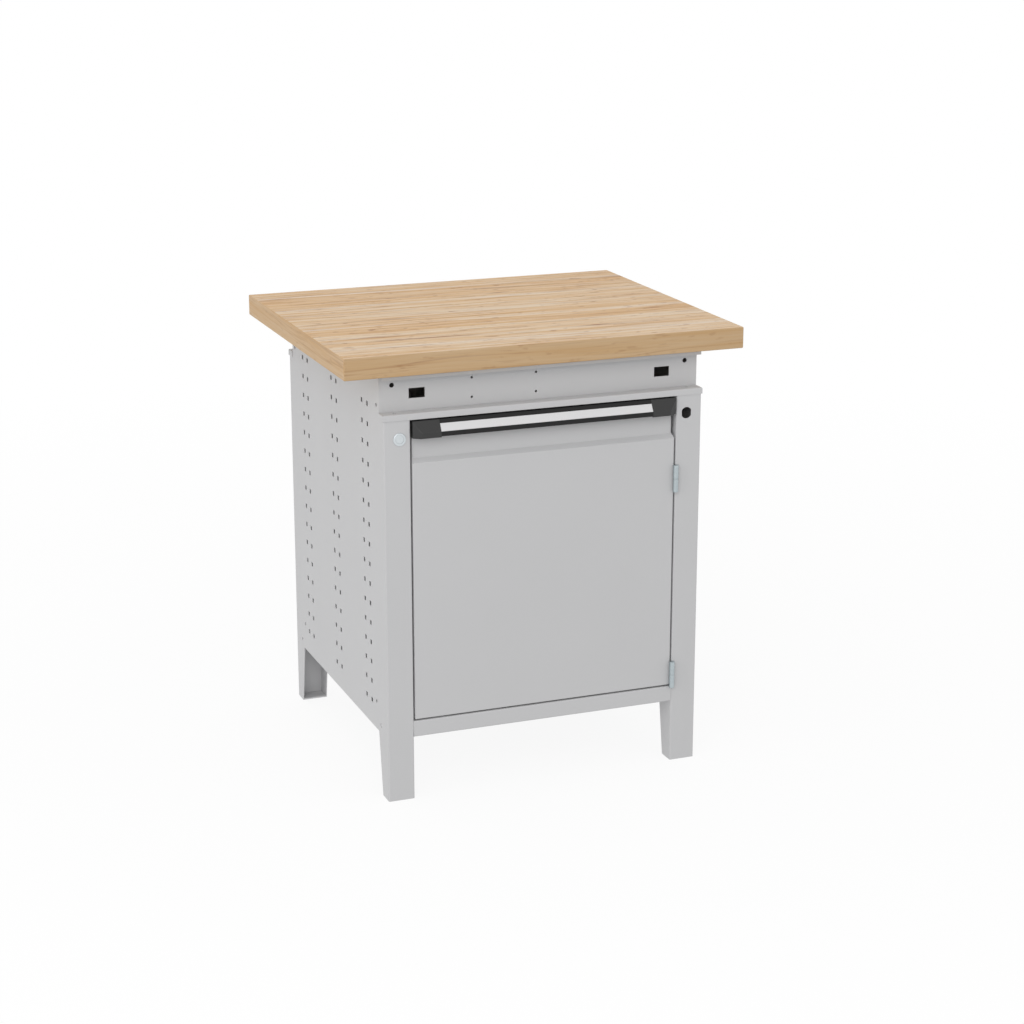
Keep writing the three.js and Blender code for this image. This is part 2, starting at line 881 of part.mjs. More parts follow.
function lockHousing() {
  const bodyEnd = camFront - fitGap;
  const flange = roundRod(lockFlange, 'Y', [-lockFlangeThickness, 0]);
  const bodyShape = doubleD(lockHole - 2 * fitGap, lockHoleFlats - 2 * fitGap, [0, 0]);
  const body = extrude(bodyShape, 'Y', [-lockFlangeThickness / 2, bodyEnd]);
  const bore = roundRod(lockRotor + 2 * fitGap, 'Y', [-2 * lockFlangeThickness, 2 * bodyEnd]);
  const seat = roundRod(
    lockHead + 2 * fitGap,
    'Y',
    [-2 * lockFlangeThickness, -lockFlangeThickness + lockHeadThickness + fitGap],
  );
  return cut(join(flange, body), bore, seat);
}

function lockNut() {
  const corner = lockNutAcross / Math.sqrt(3);
  const corners = [0, 1, 2, 3, 4, 5].map((index) => {
    const turn = index * Math.PI / 3;
    return [corner * Math.cos(turn), corner * Math.sin(turn)];
  });
  const ys = [frameSheet, frameSheet + lockNutThickness];
  const bore = roundRod(lockHole, 'Y', [ys[0] - frameSheet, ys[1] + frameSheet]);
  return cut(extrude(outline(corners), 'Y', ys), bore);
}

function lockRotorSolid() {
  const front = -lockFlangeThickness;
  const head = roundRod(lockHead, 'Y', [front, front + lockHeadThickness]);
  const barrel = roundRod(lockRotor, 'Y', [front, camFront - fitGap]);
  const halfTang = lockTang / 2;
  const tangEnd = camFront + camThickness - fitGap;
  const tang = block([-halfTang, halfTang], [camFront - lockHeadThickness, tangEnd], [-halfTang, halfTang]);
  const keySlot = block(
    [-keySlotWidth / 2, keySlotWidth / 2],
    [front - lockHeadThickness, front + keySlotDepth],
    [-keySlotHeight / 2, keySlotHeight / 2],
  );
  const threadEnd = camFront + camThickness - camScrewGrip - fitGap;
  const thread = roundRod(camScrew + 2 * fitGap, 'Y', [threadEnd, 2 * tangEnd]);
  return cut(join(head, barrel, tang), keySlot, thread);
}

// At rest the cam hangs down inside the post; a quarter turn takes it into the door
function lockCam() {
  const halfWide = camWidth / 2;
  const halfHole = lockTang / 2 + fitGap;
  const ys = [camFront, camFront + camThickness];
  const plate = block([-halfWide, halfWide], ys, [halfWide, -camReach]);
  const tangHole = block([-halfHole, halfHole], [0, 2 * ys[1]], [-halfHole, halfHole]);
  return cut(plate, tangHole);
}

function addLock(group) {
  const lock = new THREE.Group();
  lock.position.set(lockX, -halfDepth, lockZ);
  addPiece(lock, 'lock_housing', lockHousing(), zincPlate());
  addPiece(lock, 'lock_nut', lockNut(), zincPlate());
  addPiece(lock, 'lock_rotor', lockRotorSolid(), zincPlate());
  addPiece(lock, 'lock_cam', lockCam(), zincPlate());
  const fixing = addPiece(lock, 'lock_cam_screw', screw(camScrew, camScrewGrip, 'Y', -1), zincPlate());
  fixing.position.y = camFront + camThickness;
  group.add(lock);
}

const bench = new THREE.Group();
bench.name = 'workbench';
const carcass = new THREE.Group();
bench.add(carcass);
addSidePanels(carcass);
addFootPlates(carcass);
addRails(carcass);
addCabinet(carcass);
addDoorStops(carcass);
addWorktop(bench);
addDoor(bench);
addHinges(bench);
addLock(bench);

export default bench;
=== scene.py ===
import json
import math

import bmesh
import bpy
from mathutils import Color, Matrix, Vector


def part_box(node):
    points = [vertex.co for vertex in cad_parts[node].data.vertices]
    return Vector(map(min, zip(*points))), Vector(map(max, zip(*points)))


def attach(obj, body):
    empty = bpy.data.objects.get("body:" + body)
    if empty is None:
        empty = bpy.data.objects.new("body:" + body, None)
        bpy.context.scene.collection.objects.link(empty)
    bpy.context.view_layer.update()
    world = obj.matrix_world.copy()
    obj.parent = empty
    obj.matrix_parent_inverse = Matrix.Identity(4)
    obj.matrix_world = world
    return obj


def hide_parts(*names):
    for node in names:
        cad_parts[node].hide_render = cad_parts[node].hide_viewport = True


# Workbench with a cabinet under a beech top, dressed piece by piece in the order of its assembly.
# Metres, +Z up, front towards -Y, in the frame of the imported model.
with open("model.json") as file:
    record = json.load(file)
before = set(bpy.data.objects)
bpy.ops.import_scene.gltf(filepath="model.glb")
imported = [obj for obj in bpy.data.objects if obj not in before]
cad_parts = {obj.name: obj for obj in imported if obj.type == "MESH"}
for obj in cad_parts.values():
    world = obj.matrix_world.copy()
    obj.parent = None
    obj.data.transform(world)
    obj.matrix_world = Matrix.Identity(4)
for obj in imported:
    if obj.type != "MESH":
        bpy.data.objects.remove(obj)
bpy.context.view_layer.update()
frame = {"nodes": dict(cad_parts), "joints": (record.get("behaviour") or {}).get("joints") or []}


# Side panels. Each is one steel sheet, punched with square holes for hooks and folded into a front and
# a rear post that taper to the feet. The finish is a satin light grey powder coat.
frame_sheet = 0.0015
fold_inside_radius = 0.0011
fold_steps = 5
shortest_fold = 0.015
smooth_below = math.radians(38)
paint_grey = "C4C4C5"
paint_peel_scale = 1100
paint_peel_depth = 0.00004


def solid_of(node):
    """A node's solid with its flat faces whole again, ready to be rounded."""
    source = frame["nodes"][node].data
    solid = bmesh.new()
    corners = [solid.verts.new(corner.co) for corner in source.vertices]
    for face in source.polygons:
        solid.faces.new([corners[index] for index in face.vertices])
    bmesh.ops.remove_doubles(solid, verts=solid.verts, dist=0.00001)
    bmesh.ops.dissolve_limit(
        solid, angle_limit=math.radians(0.5), verts=solid.verts, edges=solid.edges
    )
    return solid


def runs_along(edge, axis):
    """True where an edge follows the named axis, on which a pan has its closed corners."""
    way = edge.verts[1].co - edge.verts[0].co
    return bool(axis) and abs(way.normalized()["XYZ".index(axis)]) > 0.99


def bend_edges(solid, sheet):
    """Edges of the bends: each convex edge with a hollow edge beside it, one sheet thickness away."""
    least_bend = math.radians(10)
    hollow = [edge for edge in solid.edges if edge.calc_face_angle_signed(0) < -least_bend]
    outer_found, hollow_found = [], []
    for edge in solid.edges:
        if edge.calc_face_angle_signed(0) < least_bend:
            continue
        start, end = (corner.co for corner in edge.verts)
        middle = (start + end) / 2
        for other in hollow:
            way = other.verts[1].co - other.verts[0].co
            if abs(way.normalized().dot((end - start).normalized())) < 0.999:
                continue
            offset = middle - other.verts[0].co
            beside = (offset - offset.project(way)).length < 1.6 * sheet
            if beside and 0 < offset.dot(way) < way.length_squared:
                outer_found.append(edge)
                hollow_found.append(other)
                break
    return outer_found, list(dict.fromkeys(hollow_found))


def spans_of(edges):
    """Edges in line between the same faces, joined: low end, high end and the two normals of each."""
    lines = {}
    for edge in edges:
        ends = [corner.co.copy() for corner in edge.verts]
        way = (ends[1] - ends[0]).normalized()
        if max(way, key=abs) < 0:
            way.negate()
        ends.sort(key=way.dot)
        normals = sorted((face.normal.copy() for face in edge.link_faces), key=tuple)
        foot = ends[0] - way * ends[0].dot(way)
        marks = [round(1000 * part) for part in foot]
        marks += [round(20 * part) for normal in normals for part in normal]
        lines.setdefault(tuple(marks), []).append((ends[0], ends[1], *normals))
    spans = []
    for pieces in lines.values():
        low, high, first, second = pieces[0]
        way = (high - low).normalized()
        lows = [piece[0] for piece in pieces]
        highs = [piece[1] for piece in pieces]
        spans.append((min(lows, key=way.dot), max(highs, key=way.dot), first, second))
    return [span for span in spans if (span[1] - span[0]).length > shortest_fold]


def fillet_prism(span, radius, side):
    """The corner between two faces, up to the round that meets both: an edge (1) or a hollow (-1)."""
    low, high, first, second = span
    cover = 0.0004
    overlap = 0.00002
    way = (high - low).normalized()
    lean = 1 + first.dot(second)
    reach = radius * math.tan(first.angle(second) / 2)
    into_first = -side * (second - first * first.dot(second)).normalized()
    centre = into_first * reach - side * first * radius
    turns = [first.slerp(second, step / fold_steps) for step in range(fold_steps + 1)]
    arc = [centre + side * radius * turn for turn in turns]
    corner = side * (first + second) * cover / lean
    outline = [corner, arc[0] + side * first * cover, *arc, arc[-1] + side * second * cover]
    beyond = way * side * overlap
    prism = bmesh.new()
    ends = [
        [prism.verts.new(place + point) for point in outline] for place in (low - beyond, high + beyond)
    ]
    prism.faces.new(ends[0])
    prism.faces.new(ends[1])
    for index in range(len(outline)):
        after = (index + 1) % len(outline)
        prism.faces.new((ends[0][index], ends[0][after], ends[1][after], ends[1][index]))
    bmesh.ops.recalc_face_normals(prism, faces=prism.faces)
    return prism


def carved(first, second, operation):
    """Joins, cuts or meets two closed solids and gives the result as a new one."""
    helpers = []
    for solid in (first, second):
        mesh = bpy.data.meshes.new("carving")
        solid.to_mesh(mesh)
        solid.free()
        helpers.append(bpy.data.objects.new("carving", mesh))
        bpy.context.scene.collection.objects.link(helpers[-1])
    cutter = helpers[0].modifiers.new("carve", "BOOLEAN")
    cutter.operation = operation
    cutter.solver = "EXACT"
    cutter.object = helpers[1]
    bpy.context.view_layer.update()
    made = helpers[0].evaluated_get(bpy.context.evaluated_depsgraph_get())
    result = bmesh.new()
    result.from_mesh(made.data)
    for helper in helpers:
        bpy.data.objects.remove(helper)
    return result


def round_folds(solid, sheet, corners, corner_radius):
    """Gives each bend its two radii. The welded corners of a pan stay square or are ground round."""
    bends = bend_edges(solid, sheet)
    outer, hollow = (
        spans_of([edge for edge in edges if not runs_along(edge, corners)]) for edges in bends
    )
    welded = []
    if corner_radius:
        welded = spans_of([edge for edge in bends[0] if runs_along(edge, corners)])
    for span in outer:
        solid = carved(solid, fillet_prism(span, fold_inside_radius + sheet, 1), "DIFFERENCE")
    for span in hollow:
        solid = carved(solid, fillet_prism(span, fold_inside_radius, -1), "UNION")
    for span in welded:
        solid = carved(solid, fillet_prism(span, corner_radius, 1), "DIFFERENCE")
    return solid


def fit(name, solid, nodes, body, slot, *finishes):
    """Puts a finished solid in the place of its node or nodes."""
    mesh = bpy.data.meshes.new(name)
    solid.to_mesh(mesh)
    solid.free()
    mesh.shade_smooth()
    mesh.set_sharp_from_angle(angle=smooth_below)
    for finish in finishes:
        mesh.materials.append(finish)
    piece = bpy.data.objects.new(name, mesh)
    bpy.context.scene.collection.objects.link(piece)
    evened = piece.modifiers.new("even_shading", "WEIGHTED_NORMAL")
    evened.keep_sharp = True
    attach(piece, body)
    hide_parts(*nodes)


def folded(node, body, sheet, finish, corners="", corner_radius=0.0):
    """A folded and painted sheet. A pan has welded corners along the axis that is named."""
    solid = round_folds(solid_of(node), sheet, corners, corner_radius)
    fit("folded_" + node, solid, [node], body, "grey_paint", finish)


def linear(colour):
    """A colour written as sRGB hex, as the linear colour that a socket takes."""
    parts = [int(colour[index:index + 2], 16) / 255 for index in (0, 2, 4)]
    return (*Color(parts).from_srgb_to_scene_linear(), 1)


def wire(tree, kind, inputs, **options):
    """A node with its options set, and each input joined to a socket or given a value."""
    node = tree.nodes.new("ShaderNode" + kind)
    for option, value in options.items():
        setattr(node, option, value)
    for key, value in inputs.items():
        if isinstance(value, bpy.types.NodeSocket):
            tree.links.new(value, node.inputs[key])
        else:
            node.inputs[key].default_value = value
    return node


def noise(tree, place, scale, detail, roughness=0.5):
    inputs = {"Vector": place, "Scale": scale, "Detail": detail, "Roughness": roughness}
    return wire(tree, "TexNoise", inputs).outputs[0]


def sum_of(tree, operation, first, second=0.0, third=0.0):
    return wire(tree, "Math", {0: first, 1: second, 2: third}, operation=operation).outputs[0]


def remap(tree, value, low, high, to_low, to_high):
    inputs = {"Value": value, "From Min": low, "From Max": high, "To Min": to_low, "To Max": to_high}
    return wire(tree, "MapRange", inputs).outputs[0]


def shaded(tree, colour, share):
    return wire(tree, "VectorMath", {0: colour, "Scale": share}, operation="SCALE").outputs[0]


def shader_group(name, inputs, outputs):
    """An empty node group with named sockets: the tree, its inputs to read and its outputs to fill."""
    tree = bpy.data.node_groups.new(name, "ShaderNodeTree")
    for direction, sockets in (("INPUT", inputs), ("OUTPUT", outputs)):
        for label, kind in sockets.items():
            tree.interface.new_socket(label, in_out=direction, socket_type="NodeSocket" + kind)
    return tree, tree.nodes.new("NodeGroupInput").outputs, tree.nodes.new("NodeGroupOutput").inputs


def fill(tree, put, values):
    for label, socket in values.items():
        tree.links.new(socket, put[label])


def surface_grain_group():
    """Fine grain of a baked or moulded surface, with soft clouds in its colour and gloss."""
    tree, given, put = shader_group(
        "surface_grain",
        {
            "Place": "Vector",
            "Colour": "Color",
            "Grain Scale": "Float",
            "Mottle": "Float",
            "Smooth": "Float",
            "Rough": "Float",
        },
        {"Colour": "Color", "Roughness": "Float", "Height": "Float"},
    )
    cloud = noise(tree, given["Place"], 6, 4, 0.6)
    grain = noise(tree, given["Place"], given["Grain Scale"], 2)
    both = sum_of(tree, "MULTIPLY_ADD", cloud, 0.7, sum_of(tree, "MULTIPLY", grain, 0.3))
    centred = sum_of(tree, "SUBTRACT", both, 0.5)
    shade = sum_of(tree, "MULTIPLY_ADD", centred, given["Mottle"], 1)
    tinted = shaded(tree, given["Colour"], shade)
    gloss = remap(tree, both, 0.35, 0.65, given["Smooth"], given["Rough"])
    fill(tree, put, {"Colour": tinted, "Roughness": gloss, "Height": grain})
    return tree


surface_grain = surface_grain_group()


def new_material(name):
    material = bpy.data.materials.new(name)
    material.use_nodes = True
    tree = material.node_tree
    place = wire(tree, "TexCoord", {}).outputs["Object"]
    return material, tree, tree.nodes["Principled BSDF"].inputs, place


def finish_surface(tree, shader, effect, depth):
    """Joins a group's colour, gloss and relief to the shader."""
    relief = wire(tree, "Bump", {"Height": effect["Height"], "Distance": depth, "Strength": 1.0})
    tree.links.new(effect["Colour"], shader["Base Color"])
    tree.links.new(effect["Roughness"], shader["Roughness"])
    tree.links.new(relief.outputs[0], shader["Normal"])


def grained(name, colour, scale, mottle, gloss, depth, specular=0.5, coat=0.0):
    """A coated or moulded finish with the surface grain in it."""
    material, tree, shader, place = new_material(name)
    inputs = {
        "Place": place,
        "Colour": linear(colour),
        "Grain Scale": scale,
        "Mottle": mottle,
        "Smooth": gloss[0],
        "Rough": gloss[1],
    }
    effect = wire(tree, "Group", inputs, node_tree=surface_grain).outputs
    finish_surface(tree, shader, effect, depth)
    shader["Specular IOR Level"].default_value = specular
    shader["Coat Weight"].default_value = coat
    return material


powder_coat = grained(
    "grey_powder_coat",
    paint_grey,
    scale=paint_peel_scale,
    mottle=0.05,
    gloss=(0.42, 0.52),
    depth=paint_peel_depth,
    specular=0.4,
)

for side in ("left", "right"):
    folded(f"{side}_side_panel", "frame", frame_sheet, powder_coat)


# Foot plates. Small squares of thicker steel welded into the open ends of the legs, which spread the
# load on the floor and carry the bench. Coated with the frame.
foot_edge = 0.0005
sharp_above = math.radians(50)


def round_edges(solid, edges, radius, steps):
    bmesh.ops.bevel(
        solid,
        geom=edges,
        affect="EDGES",
        offset_type="OFFSET",
        offset=radius,
        segments=steps,
        profile=0.5,
        clamp_overlap=False,
    )


def ease_cut_edges(solid, radius):
    """Takes the sharpness off the edges of a cut piece."""
    sharp = [edge for edge in solid.edges if edge.calc_face_angle_signed(0) > sharp_above]
    round_edges(solid, sharp, radius, 2)


for end in ("front", "rear"):
    for side in ("left", "right"):
        node = f"foot_plate_{end}_{side}"
        foot = solid_of(node)
        ease_cut_edges(foot, foot_edge)
        fit("welded_" + node, foot, [node], "frame", "grey_paint", powder_coat)


# Rails and aprons. Folded channels of the same sheet: the top rails cap the posts, the aprons stand
# behind them under the worktop with their lipped flange, and the bottom rails close the frame above
# the legs.
for end in ("front", "rear"):
    folded(f"{end}_top_rail", "frame", frame_sheet, powder_coat, corners="Z")
    for rail in ("apron", "bottom_rail"):
        folded(f"{end}_{rail}", "frame", frame_sheet, powder_coat)


# Cabinet. A back pan, a floor and one shelf, folded from sheet steel and coated like the frame.
# The shelf lies on four brackets, welded on the walls between two rows of holes.
cabinet_sheet = 0.00125

folded("cabinet_floor", "frame", frame_sheet, powder_coat)
folded("back_panel", "frame", cabinet_sheet, powder_coat, corners="Y")
folded("shelf", "frame", cabinet_sheet, powder_coat, corners="Z")
for end in ("front", "rear"):
    for side in ("left", "right"):
        folded(f"shelf_bracket_{end}_{side}", "frame", frame_sheet, powder_coat)


# Worktop. Ten beech staves glued side by side, faced with beech lippings along all four edges, sanded,
# with eased arrises, and oiled. It lies on the flanges of the rails and aprons.
stave_count = 10
stave_warmth = (0.44, 0.42, 0.43, 0.62, 0.47, 0.43, 0.45, 0.54, 0.64, 0.52)
sapwood_seams = (1, 4, 7, 9)
sapwood_width = 0.009
glue_line = 0.00025
arris_radius = 0.002
beech_pale = "DFCEB7"
beech_tan = "D9BB95"
beech_warm = "D1AA79"
beech_brown = "C3945E"
beech_sap = "E0D1BF"
beech_vein = "884E20"
pore_depth = 0.00005
oil_specular = 0.3
# Painted light on the top staves: their beech colour is scaled a little brighter for the light that
# falls on the top.
stave_painted_light = 1.03
glue_darkness = 0.25
lipping_warmth = 0.58
lipping_figure = 0.36
# Painted shade on the lippings: the front one and the end ones are darkened for how light falls on the
# sides, the front most.
long_lipping_painted_shade = 0.80
end_lipping_painted_shade = 0.87


def stretched(tree, place, scales):
    return wire(tree, "VectorMath", {0: place, 1: scales}, operation="MULTIPLY").outputs[0]


def moved(tree, place, step):
    return wire(tree, "VectorMath", {0: place, 1: step}, operation="ADD").outputs[0]


def mixed(tree, share, first, second):
    return wire(tree, "Mix", {0: share, 6: first, 7: second}, data_type="RGBA").outputs[2]


def beech_figure_group():
    """Beech with its grain along X: warm and pale zones, streaks, thin growth lines, flecks, fibres and
    painted shading.
    """
    tree, given, put = shader_group(
        "beech_figure",
        {"Place": "Vector", "Warmth": "Float", "Figure": "Float", "Sapwood": "Float", "Painted Shading": "Float"},
        {"Colour": "Color", "Roughness": "Float", "Height": "Float"},
    )
    wander = noise(tree, stretched(tree, given["Place"], (1.8, 12, 12)), 1, 2)
    sway = sum_of(tree, "MULTIPLY_ADD", wander, 0.024, -0.012)
    drift = wire(tree, "CombineXYZ", {1: sway, 2: sway}).outputs[0]
    place = moved(tree, given["Place"], drift)
    zones = noise(tree, stretched(tree, place, (1.4, 19, 19)), 1, 2)
    streaks = noise(tree, stretched(tree, place, (2.5, 105, 105)), 1, 4, 0.62)
    growth = noise(tree, stretched(tree, place, (1.2, 46, 46)), 1, 2, 0.5)
    crowd = noise(tree, stretched(tree, place, (3.5, 40, 40)), 1, 2)
    dashes = noise(tree, stretched(tree, place, (11, 340, 340)), 1, 1)
    flecks = noise(tree, stretched(tree, place, (38, 115, 115)), 1, 1)
    fibres = noise(tree, stretched(tree, place, (14, 1100, 1100)), 1, 2)
    swing = sum_of(tree, "MULTIPLY_ADD", zones, 0.5, sum_of(tree, "MULTIPLY", streaks, 1.8))
    swung = sum_of(tree, "SUBTRACT", swing, 1.15)
    tone = sum_of(tree, "MULTIPLY_ADD", swung, given["Figure"], given["Warmth"])
    ramp = wire(tree, "ValToRGB", {"Fac": tone})
    stops = ((0.1, beech_pale), (0.45, beech_tan), (0.72, beech_warm), (1.0, beech_brown))
    while len(ramp.color_ramp.elements) < len(stops):
        ramp.color_ramp.elements.new(0.5)
    for element, (position, colour) in zip(ramp.color_ramp.elements, stops):
        element.position = position
        element.color = linear(colour)
    sappy = mixed(tree, given["Sapwood"], ramp.outputs[0], linear(beech_sap))
    from_line = sum_of(tree, "ABSOLUTE", sum_of(tree, "SUBTRACT", growth, 0.5))
    line = remap(tree, from_line, 0.0, 0.028, 0.76, 0.0)
    lined = sum_of(tree, "MULTIPLY", line, remap(tree, crowd, 0.44, 0.60, 0.08, 1.0))
    dashed = remap(tree, dashes, 0.60, 0.72, 0.0, 0.48)
    flecked = sum_of(tree, "ADD", remap(tree, flecks, 0.65, 0.75, 0.0, 0.5), dashed)
    fibrous = remap(tree, fibres, 0.35, 0.70, 0.0, 0.10)
    all_marks = sum_of(tree, "ADD", lined, sum_of(tree, "ADD", flecked, fibrous))
    marks = sum_of(tree, "MULTIPLY", all_marks, given["Figure"])
    figured = mixed(tree, marks, sappy, linear(beech_vein))
    # Painted light and shade: the figured colour is scaled brighter or darker for the face that it is
    # on.
    colour = shaded(tree, figured, given["Painted Shading"])
    gloss = remap(tree, fibres, 0.3, 0.7, 0.46, 0.60)
    relief = sum_of(tree, "SUBTRACT", fibres, dashed)
    fill(tree, put, {"Colour": colour, "Roughness": gloss, "Height": relief})
    return tree


beech_figure = beech_figure_group()
top_low, top_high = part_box("worktop")
top_depth = top_high.y - top_low.y
stave_width = top_depth / stave_count


def stave_material():
    """Staves along X, each with its own tone, pale sapwood beside some seams, and thin glue lines."""
    material, tree, shader, place = new_material("beech_staves")
    across = wire(tree, "SeparateXYZ", {0: place}).outputs["Y"]
    count = sum_of(tree, "DIVIDE", sum_of(tree, "SUBTRACT", across, top_low.y), stave_width)
    number = sum_of(tree, "FLOOR", count)
    chance = wire(tree, "TexWhiteNoise", {"W": number}, noise_dimensions="1D").outputs["Color"]
    own_place = moved(tree, place, stretched(tree, chance, (9, 0, 9)))
    ramp = wire(tree, "ValToRGB", {"Fac": sum_of(tree, "DIVIDE", count, stave_count)})
    ramp.color_ramp.interpolation = "CONSTANT"
    while len(ramp.color_ramp.elements) < stave_count:
        ramp.color_ramp.elements.new(0.5)
    for index, (element, warmth) in enumerate(zip(ramp.color_ramp.elements, stave_warmth)):
        element.position = index / stave_count
        element.color = (warmth, warmth, warmth, 1)
    edge = noise(tree, stretched(tree, place, (4, 30, 30)), 1, 3)
    wavy = sum_of(tree, "MULTIPLY_ADD", edge, 0.016, sum_of(tree, "SUBTRACT", across, 0.008))
    sapwood = 0.0
    for seam in sapwood_seams:
        gap = sum_of(tree, "SUBTRACT", wavy, top_low.y + seam * stave_width)
        near = sum_of(tree, "ABSOLUTE", gap)
        sap = remap(tree, near, 0.2 * sapwood_width, sapwood_width, 0.9, 0.0)
        sapwood = sum_of(tree, "ADD", sap, sapwood)
    come_and_go = noise(tree, stretched(tree, place, (5, 60, 60)), 1, 2)
    sapwood = sum_of(tree, "MULTIPLY", sapwood, remap(tree, come_and_go, 0.35, 0.6, 0.25, 1.0))
    inputs = {
        "Place": own_place,
        "Warmth": ramp.outputs[0],
        "Figure": 1.0,
        "Sapwood": sapwood,
        # Painted light: the top staves are scaled a little brighter.
        "Painted Shading": stave_painted_light,
    }
    effect = wire(tree, "Group", inputs, node_tree=beech_figure).outputs
    finish_surface(tree, shader, effect, pore_depth)
    shader["Specular IOR Level"].default_value = oil_specular
    from_seam = sum_of(tree, "PINGPONG", count, 0.5)
    line = remap(tree, from_seam, 0.0, glue_line / stave_width, glue_darkness, 0.0)
    jointed = mixed(tree, line, effect["Colour"], linear(beech_vein))
    tree.links.new(jointed, shader["Base Color"])
    return material


def lipping_material(name, order, shade):
    """One long board: the grain runs along the edge that it faces, its colour darkened by painted
    shade.
    """
    material, tree, shader, place = new_material(name)
    parts = wire(tree, "SeparateXYZ", {0: place}).outputs
    along_edge = {index: parts[axis] for index, axis in enumerate(order)}
    inputs = {
        "Place": wire(tree, "CombineXYZ", along_edge).outputs[0],
        "Warmth": lipping_warmth,
        "Figure": lipping_figure,
        "Sapwood": 0.0,
        # Painted shade: the lipping is darkened for the side that it faces.
        "Painted Shading": shade,
    }
    effect = wire(tree, "Group", inputs, node_tree=beech_figure).outputs
    finish_surface(tree, shader, effect, pore_depth)
    shader["Specular IOR Level"].default_value = oil_specular
    return material


def block(low, high):
    """A plain box between two corners."""
    solid = bmesh.new()
    bmesh.ops.create_cube(solid, size=1)
    bmesh.ops.scale(solid, vec=Vector(high) - Vector(low), verts=solid.verts)
    bmesh.ops.translate(solid, vec=(Vector(low) + Vector(high)) / 2, verts=solid.verts)
    return solid


def worktop_solid():
    """The board with eased arrises, each face marked as staves, long lipping or end lipping."""
    solid = block(top_low, top_high)
    round_edges(solid, solid.edges[:], arris_radius, 4)
    for face in solid.faces:
        lengthwise = abs(face.normal.y) > abs(face.normal.x)
        if abs(face.normal.z) > 0.9:
            face.material_index = 0
        else:
            face.material_index = 1 if lengthwise else 2
    return solid


fit(
    "beech_worktop",
    worktop_solid(),
    ["worktop"],
    "frame",
    "beech",
    stave_material(),
    lipping_material("beech_long_lipping", "XZY", long_lipping_painted_shade),
    lipping_material("beech_end_lipping", "YZX", end_lipping_painted_shade),
)


# Worktop screws. Four pan head screws of bright zinc plated steel hold the worktop down, driven up
# through the flanges of the aprons. Each head has a cross recess.
screw_head_height = 0.0025
screw_head_ease = 0.0006
head_to_shank = 2.2
recess_arm = 0.0022
recess_width = 0.0009
recess_depth = 0.0015
zinc_pale = "BBC4C7"
zinc_blue = "A9B4B8"
plating_depth = 0.000012
plating_metallic = 0.9


def plating_group():
    """Plated metal: a faint bluish mottle with fine rolling marks, bright but not mirror smooth."""
    tree, given, put = shader_group(
        "plating",
        {"Place": "Vector", "Pale": "Color", "Blue": "Color"},
        {"Colour": "Color", "Roughness": "Float", "Height": "Float"},
    )
    mottle = noise(tree, given["Place"], 260, 3)
    marks = noise(tree, stretched(tree, given["Place"], (2600, 2600, 120)), 1, 2)
    tint = mixed(tree, mottle, given["Pale"], given["Blue"])
    gloss = sum_of(tree, "MULTIPLY_ADD", marks, 0.16, sum_of(tree, "MULTIPLY_ADD", mottle, 0.14, 0.24))
    fill(tree, put, {"Colour": tint, "Roughness": gloss, "Height": marks})
    return tree


plating = plating_group()


def plated_metal(name, pale, blue):
    material, tree, shader, place = new_material(name)
    inputs = {"Place": place, "Pale": linear(pale), "Blue": linear(blue)}
    effect = wire(tree, "Group", inputs, node_tree=plating).outputs
    finish_surface(tree, shader, effect, plating_depth)
    shader["Metallic"].default_value = plating_metallic
    return material


zinc = plated_metal("bright_zinc", zinc_pale, zinc_blue)


def turned(profile, steps=48):
    """A solid turned about Z through points of radius and height, from the axis and back to it."""
    solid = bmesh.new()
    rings = []
    for radius, height in profile:
        count = steps if radius > 0 else 1
        turns = [2 * math.pi * index / steps for index in range(count)]
        ring = [(radius * math.cos(turn), radius * math.sin(turn), height) for turn in turns]
        rings.append([solid.verts.new(point) for point in ring])
    for lower, upper in zip(rings, rings[1:]):
        for index in range(steps):
            after = (index + 1) % steps
            corners = [lower[index % len(lower)], lower[after % len(lower)]]
            corners += [upper[after % len(upper)], upper[index % len(upper)]]
            solid.faces.new(list(dict.fromkeys(corners)))
    bmesh.ops.recalc_face_normals(solid, faces=solid.faces)
    return solid


def screw_solid(head_radius, shank_radius, shank_length):
    """A pan head screw along Z, its head below the origin with a cross recess in it."""
    ease, head_height = screw_head_ease, screw_head_height
    profile = [
        (0, -head_height),
        (head_radius - 2 * ease, -head_height),
        (head_radius - 0.6 * ease, -head_height + 0.4 * ease),
        (head_radius, -head_height + 1.6 * ease),
        (head_radius, 0),
        (shank_radius, 0),
        (shank_radius, shank_length - shank_radius),
        (0.3 * shank_radius, shank_length),
        (0, shank_length),
    ]
    solid = turned(profile)
    for arm in ((recess_arm, recess_width), (recess_width, recess_arm)):
        low = (-arm[0], -arm[1], -head_height - recess_depth)
        high = (arm[0], arm[1], -head_height + recess_depth)
        solid = carved(solid, block(low, high), "DIFFERENCE")
    return solid


def fit_screw(node, body, axis):
    """A zinc screw in the place of its node, pointing along the axis that is named, its head behind."""
    low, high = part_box(node)
    middle = (low + high) / 2
    size = high - low
    along = "XYZ".index(axis[-1])
    head_radius = size[(along + 1) % 3] / 2
    shank_length = size[along] - screw_head_height
    solid = screw_solid(head_radius, head_radius / head_to_shank, shank_length)
    seat = middle.copy()
    if axis[0] == "-":
        seat[along] = high[along] - screw_head_height
    else:
        seat[along] = low[along] + screw_head_height
    way = Vector((0, 0, 0))
    way[along] = -1 if axis[0] == "-" else 1
    turn = way.to_track_quat("Z", "Y").to_matrix().to_4x4()
    bmesh.ops.transform(solid, matrix=Matrix.Translation(seat) @ turn, verts=solid.verts)
    fit("turned_" + node, solid, [node], body, "zinc", zinc)


for end in ("front", "rear"):
    for side in ("left", "right"):
        fit_screw(f"worktop_screw_{end}_{side}", "frame", "+Z")


# Door stops. Two small folded brackets behind the left post, each with a black rubber buffer glued on,
# which the free edge of the door meets when it shuts.
rubber_black = "1B1B1B"
buffer_ease = 0.0008

